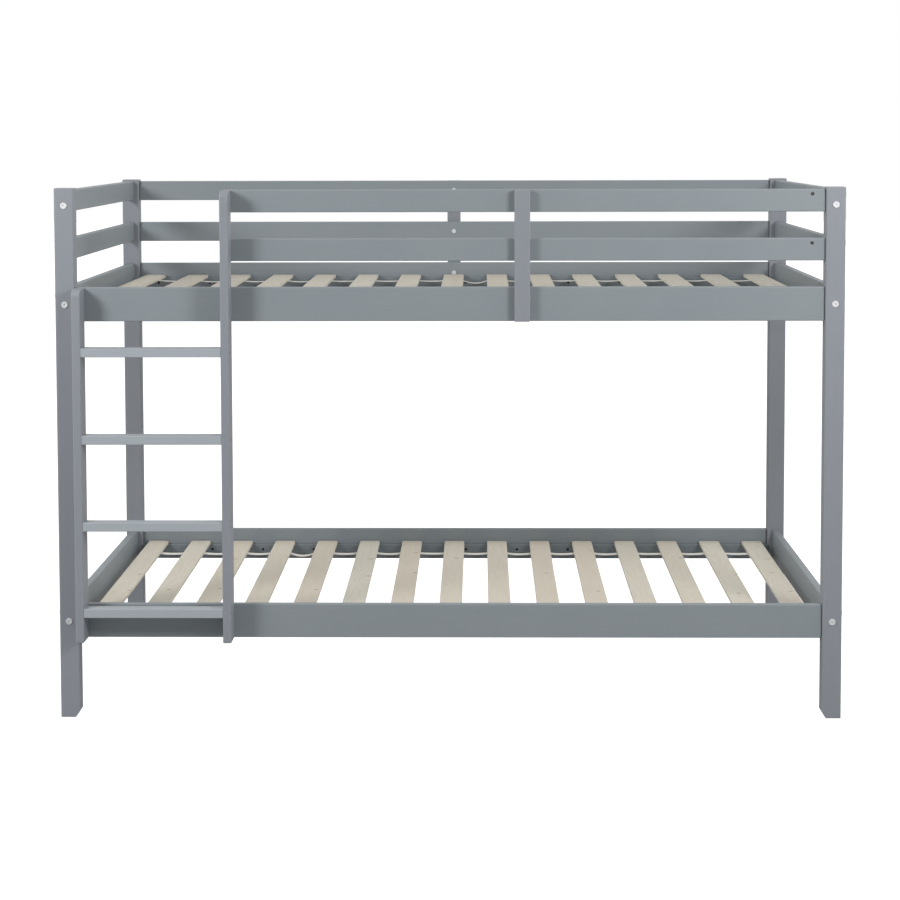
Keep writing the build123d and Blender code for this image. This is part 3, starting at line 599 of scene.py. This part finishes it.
# %% [markdown]
# ## Staples
#
# The tape has to be fixed to every slat, and wire staples are the usual way. Two at each crossing,
# driven up through the tape into the slat's underside, is a guess, because the slats hide them.
# Only the crown shows, a flat wire a little over a millimetre wide with softened edges. They are
# modelled because the underside of the upper deck is what a child on the lower bunk looks at.

# %% Staples
CROWN_MM = 11.0
WIRE_WIDE_MM = 1.3
WIRE_THICK_MM = 0.7
STAPLE_FROM_MIDDLE_MM = 16.0


def staple_block(centre, half_sizes):
    """Corner points of a small block, the lower ones drawn in to soften the wire's edges."""
    points = []
    for up, narrowing, shortening in ((-1, 0.75, 0.93), (1, 1.0, 1.0)):
        for across, along in ((-1, -1), (1, -1), (1, 1), (-1, 1)):
            offset = (
                across * half_sizes[0] * narrowing, along * half_sizes[1] * shortening,
                up * half_sizes[2])
            points.append([c + o for c, o in zip(centre, offset)])
    return points


BLOCK_FACES = [(3, 2, 1, 0), (4, 5, 6, 7), (0, 1, 5, 4), (1, 2, 6, 5), (2, 3, 7, 6), (3, 0, 4, 7)]


def make_staples(deck):
    """All the staples of one deck, as one mesh of separate wires."""
    low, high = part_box(deck + "_slat_straps")
    crown_z = high.z - STRAP_THICK - WIRE_THICK_MM * MM / 2
    half_sizes = (WIRE_WIDE_MM * MM / 2, CROWN_MM * MM / 2, WIRE_THICK_MM * MM / 2)
    vertices, faces = [], []
    for middle_y in (low.y + STRAP_WIDTH / 2, high.y - STRAP_WIDTH / 2):
        for middle_x in slat_middles:
            for side in (-1, 1):
                centre = (middle_x + side * STAPLE_FROM_MIDDLE_MM * MM, middle_y, crown_z)
                first = len(vertices)
                vertices += staple_block(centre, half_sizes)
                faces += [tuple(first + corner for corner in face) for face in BLOCK_FACES]
    mesh = bpy.data.meshes.new(deck + "_strap_staples")
    mesh.from_pydata(vertices, [], faces)
    mesh.materials.append(zinc)
    piece = bpy.data.objects.new(deck + "_strap_staples", mesh)
    bpy.context.scene.collection.objects.link(piece)
    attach(piece, deck + "_slat_deck")
    return len(faces) // len(BLOCK_FACES)


for deck in ("lower", "upper"):
    print(deck, "deck has", make_staples(deck), "staples")

# %% [markdown]
# ## Floor, light and camera
#
# The bed stands on a pale floor in a white room. A soft box stands to its left, close and above
# the posts, so it draws the edges and fades down the posts. A weaker one stands to the right,
# opens up the shadows and keeps that end from going flat. There are two floors on one another: the
# one that shows glows, so it looks white and its shadows stay pale, and a matt one under it does
# the real work of a floor, which is to bounce the lamps' light up under the rails. One floor
# can't do both, because a glowing one would light the bed evenly from below. The camera's lens
# is shifted down, so it hardly tips and the posts stay upright.

# %% Floors
FLOOR_SIZE = 60.0
FLOOR_PALE = "#D9D9D7"
FLOOR_BOUNCE = "#B2B2B0"
FLOOR_GLOW = 0.88
FLOOR_GAP = 2 * MM


def pale_floor(name, colour, glow):
    """Matt floor paint, rolled on, with an even glow."""
    material, tree = new_material(name)
    place = add(tree, "TexCoord").outputs["Object"]
    speckle = add(tree, "TexNoise", inputs={"Vector": place, "Scale": 1.5, "Detail": 3.0})
    rough = add(tree, "MapRange", inputs={
        "Value": speckle.outputs["Fac"], "To Min": 0.75, "To Max": 0.95})
    paint = add(tree, "BsdfPrincipled", inputs={
        "Base Color": hex_colour(colour), "Roughness": rough.outputs["Result"],
        "Emission Color": hex_colour("#FFFFFF"), "Emission Strength": glow})
    finish_surface(tree, paint)
    return material


def studio_floor(name, height, colour, glow):
    """A big square floor at one height."""
    half = FLOOR_SIZE / 2
    mesh = bpy.data.meshes.new(name)
    corners = [(-half, -half, height), (half, -half, height), (half, half, height), (-half, half, height)]
    mesh.from_pydata(corners, [], [(0, 1, 2, 3)])
    mesh.materials.append(pale_floor(name + "_paint", colour, glow))
    made = bpy.data.objects.new(name, mesh)
    bpy.context.scene.collection.objects.link(made)
    return made


seen_floor = studio_floor("seen_floor", cad_low.z, FLOOR_PALE, FLOOR_GLOW)
seen_floor.visible_diffuse = False
seen_floor.visible_glossy = False
seen_floor.visible_shadow = False
bounce_floor = studio_floor("bounce_floor", cad_low.z - FLOOR_GAP, FLOOR_BOUNCE, 0.0)
bounce_floor.visible_camera = False
print("floors:", FLOOR_SIZE, "m square")

# %% Light
WALL_STRENGTH = 1.0
ROOM_GLOW = {
    "all round": 0.04, "ceiling": 0.5, "right wall": 1.75, "left wall": 1.15, "back wall": 0.8}


def studio_world():
    """White walls that look white, and that light the bed mostly from above and from its ends."""
    world = bpy.data.worlds.new("white_room")
    world.use_nodes = True
    tree = world.node_tree
    tree.nodes.clear()
    facing = add(tree, "SeparateXYZ", inputs={"Vector": add(tree, "TexCoord").outputs["Generated"]})
    up = add(tree, "Math", {"operation": "MAXIMUM"}, {0: facing.outputs["Z"], 1: 0.0})
    back = add(tree, "Math", {"operation": "MAXIMUM"}, {0: facing.outputs["Y"], 1: 0.0})
    right = add(tree, "Math", {"operation": "MAXIMUM"}, {0: facing.outputs["X"], 1: 0.0})
    left = add(tree, "Math", {"operation": "MINIMUM"}, {0: facing.outputs["X"], 1: 0.0})
    left = add(tree, "Math", {"operation": "ABSOLUTE"}, {0: left.outputs[0]})
    glow = ROOM_GLOW["all round"]
    for wall, amount, power in (
            ("ceiling", up, 2.0), ("right wall", right, 4.0),
            ("left wall", left, 4.0), ("back wall", back, 2.0)):
        spread = add(tree, "Math", {"operation": "POWER"}, {0: amount.outputs[0], 1: power})
        glow = add(tree, "Math", {"operation": "MULTIPLY_ADD"}, {
            0: spread.outputs[0], 1: ROOM_GLOW[wall], 2: glow}).outputs[0]
    seen_directly = add(tree, "LightPath").outputs["Is Camera Ray"]
    strength = add(tree, "MapRange", inputs={
        "Value": seen_directly, "To Min": glow, "To Max": WALL_STRENGTH})
    light = add(tree, "Background", inputs={
        "Color": hex_colour("#FFFFFF"), "Strength": strength.outputs["Result"]})
    add(tree, "OutputWorld", inputs={"Surface": light.outputs["Background"]})
    bpy.context.scene.world = world


def soft_box(name, right, out, up, watts, size, aim):
    """A square soft box, placed from the bed's middle, its front rails and the floor."""
    data = bpy.data.lights.new(name, "AREA")
    data.energy = watts
    data.size = size
    lamp = bpy.data.objects.new(name, data)
    lamp.location = (right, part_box("upper_front_rail")[0].y - out, up)
    towards = lamp.location - mathutils.Vector(aim)
    lamp.rotation_euler = towards.to_track_quat("Z", "Y").to_euler()
    bpy.context.scene.collection.objects.link(lamp)
    return lamp


studio_world()
lamps_aim = (0.0, 0.0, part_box("upper_front_rail")[0].z)
soft_box("left_soft_box", right=-2.6, out=2.0, up=2.4, watts=64, size=0.8, aim=lamps_aim)
soft_box("right_soft_box", right=2.0, out=2.0, up=2.2, watts=46, size=0.8, aim=lamps_aim)
bpy.context.scene.view_settings.view_transform = "Standard"

# %% Camera
CAMERA_BACK = 5.258  # from the front posts' faces
CAMERA_RIGHT = 0.079  # of the bed's middle
CAMERA_HEIGHT = 1.505
LENS_MM = 82.6
SENSOR_MM = 36.0
SHIFT_UP = -0.2
TURNED_LEFT = 0.0145  # radians
TIPPED_DOWN = 0.0652
LEANS = -0.0022

front_face_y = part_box("post_front_left")[0].y
camera_data = bpy.data.cameras.new("front_camera")
camera_data.sensor_width = SENSOR_MM
camera_data.lens = LENS_MM
camera_data.shift_y = SHIFT_UP
camera = bpy.data.objects.new("front_camera", camera_data)
camera.location = (CAMERA_RIGHT, front_face_y - CAMERA_BACK, CAMERA_HEIGHT)
turn = mathutils.Matrix.Rotation(TURNED_LEFT, 3, "Z")
tip = mathutils.Matrix.Rotation(math.pi / 2 - TIPPED_DOWN, 3, "X")
roll = mathutils.Matrix.Rotation(LEANS, 3, "Z")
camera.rotation_euler = (turn @ tip @ roll).to_euler()
bpy.context.scene.collection.objects.link(camera)
bpy.context.scene.camera = camera
print("camera stands", CAMERA_BACK, "m in front and", CAMERA_HEIGHT, "m up")
